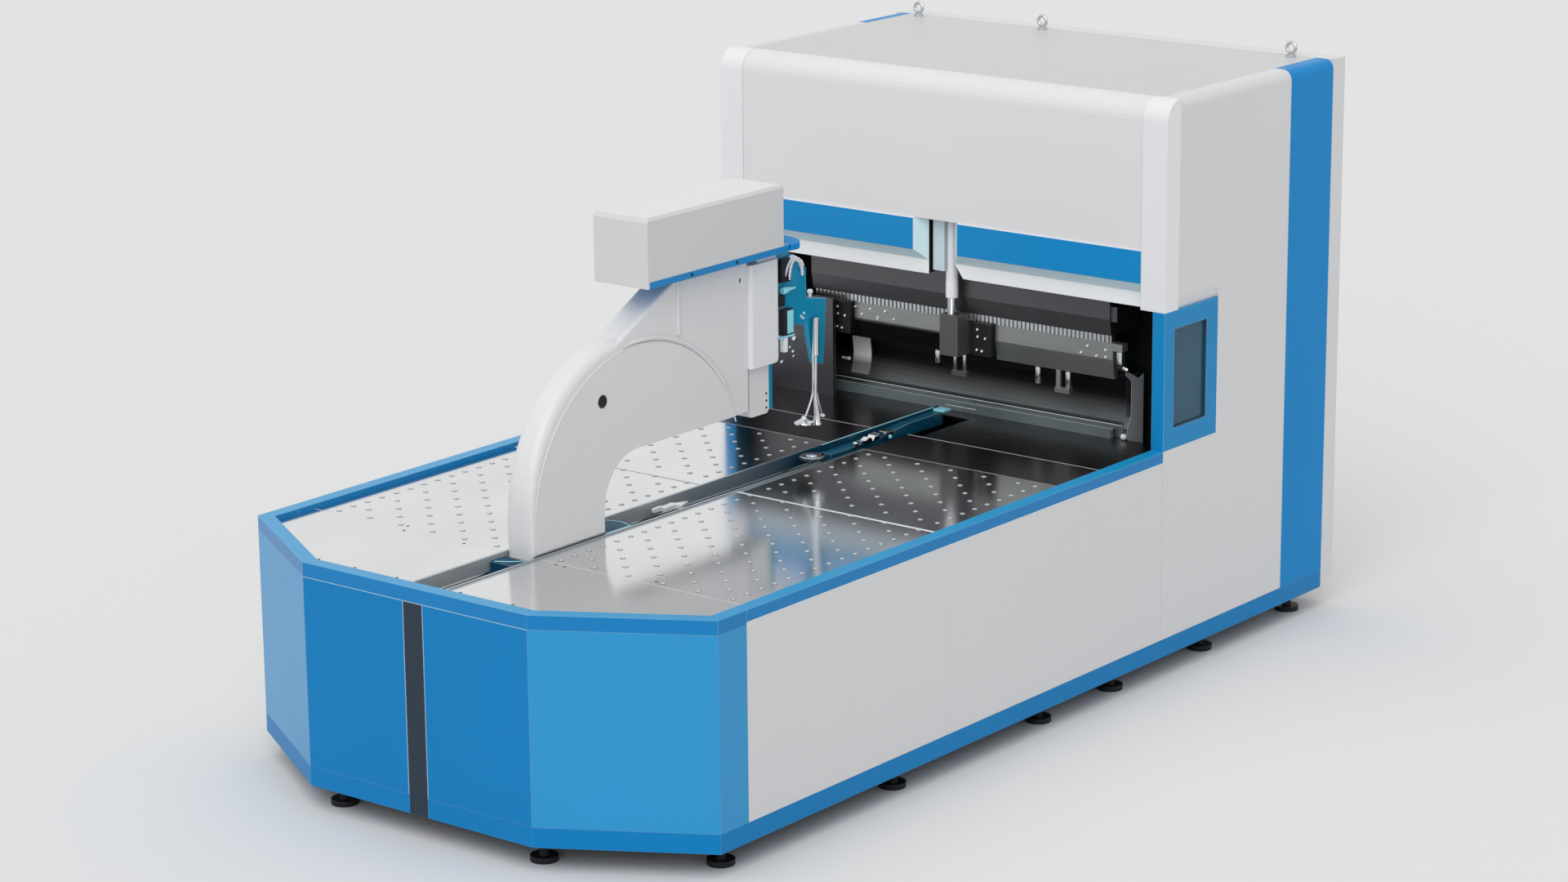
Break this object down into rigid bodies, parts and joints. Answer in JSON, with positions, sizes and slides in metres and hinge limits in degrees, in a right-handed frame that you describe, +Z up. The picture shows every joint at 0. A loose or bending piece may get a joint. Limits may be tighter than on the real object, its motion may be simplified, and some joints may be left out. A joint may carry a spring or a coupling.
{
  "type": "panel bender",
  "caption": "Sheet metal panel bender with a feeding table, a C-shaped manipulator arm on a slot and a housing over the bending tools.",
  "frame": {"origin": "centre of the footprint on the floor", "axes": "+Y from the loading end to the rear of the machine, +Z up, +X to the right seen from the loading end"},
  "size_m": [2.4, 4.785, 2.5919],
  "materials": {
    "blue": "satin powder coat",
    "pale": "satin powder coat",
    "white": "satin powder coat",
    "dark_strip": "satin powder coat",
    "black": "matt",
    "tool_dark": "oiled machined",
    "stainless": "brushed",
    "bright_steel": "ground",
    "chrome": "polished",
    "teal": "satin",
    "smoked": "smoked",
    "foot": "matt"
  },
  "bodies": {
    "machine": {"levelling_feet": "foot", "skirt": "blue", "table_frames": "black", "channel_floor": "black", "front_panels": "blue", "front_strip": "dark_strip", "corner_panels": "blue", "side_panels": "pale", "rim_front": "blue", "side_rims": "blue", "front_plate_left": "stainless", "front_plate_right": "stainless", "rear_plate_left": "stainless", "rear_plate_right": "stainless", "guide_lips": "bright_steel", "tool_floors": "black", "tool_bed": "black", "machine_core": "black", "upper_housing": "black", "machine_sides": "pale", "window_panels": "blue", "window_panes": "smoked", "blue_bands": "blue", "rear_cover": "pale", "roof_cover": "white", "front_cover": "pale", "corner_trims": "white", "fascia_panels": "white", "fascia_stripes": "blue", "lifting_eyes": "bright_steel", "slide_rails": "tool_dark", "centre_cylinder": "pale", "counter_blade": "bright_steel", "left_end_frame": "tool_dark"},
    "manipulator": {"arm_carriage": "black", "arm_body": "white", "arm_discs": "pale", "drive_cover": "white", "drive_base_plate": "blue", "clamp_housing": "white", "rod_bracket": "teal", "press_rod": "chrome"},
    "clamp": {"clamp_ram": "white"},
    "press": {"press_beam": "tool_dark", "upper_tools": "bright_steel", "tool_plates": "bright_steel", "clamp_blocks": "black", "centre_block": "tool_dark"},
    "blade_carrier": {"blade_frame": "tool_dark", "lower_blade": "bright_steel"}
  },
  "joints": [
    {"name": "manipulator_travel", "type": "slide", "parent": "machine", "child": "manipulator", "axis": [0, 1, 0], "range_m": [-0.45, 0.75]},
    {"name": "clamp_lift", "type": "slide", "parent": "manipulator", "child": "clamp", "axis": [0, 0, 1], "range_m": [-0.26, 0]},
    {"name": "press_lift", "type": "slide", "parent": "machine", "child": "press", "axis": [0, 0, 1], "range_m": [-0.12, 0]},
    {"name": "blade_lift", "type": "slide", "parent": "machine", "child": "blade_carrier", "axis": [0, 0, 1], "range_m": [-0.05, 0.06]}
  ]
}
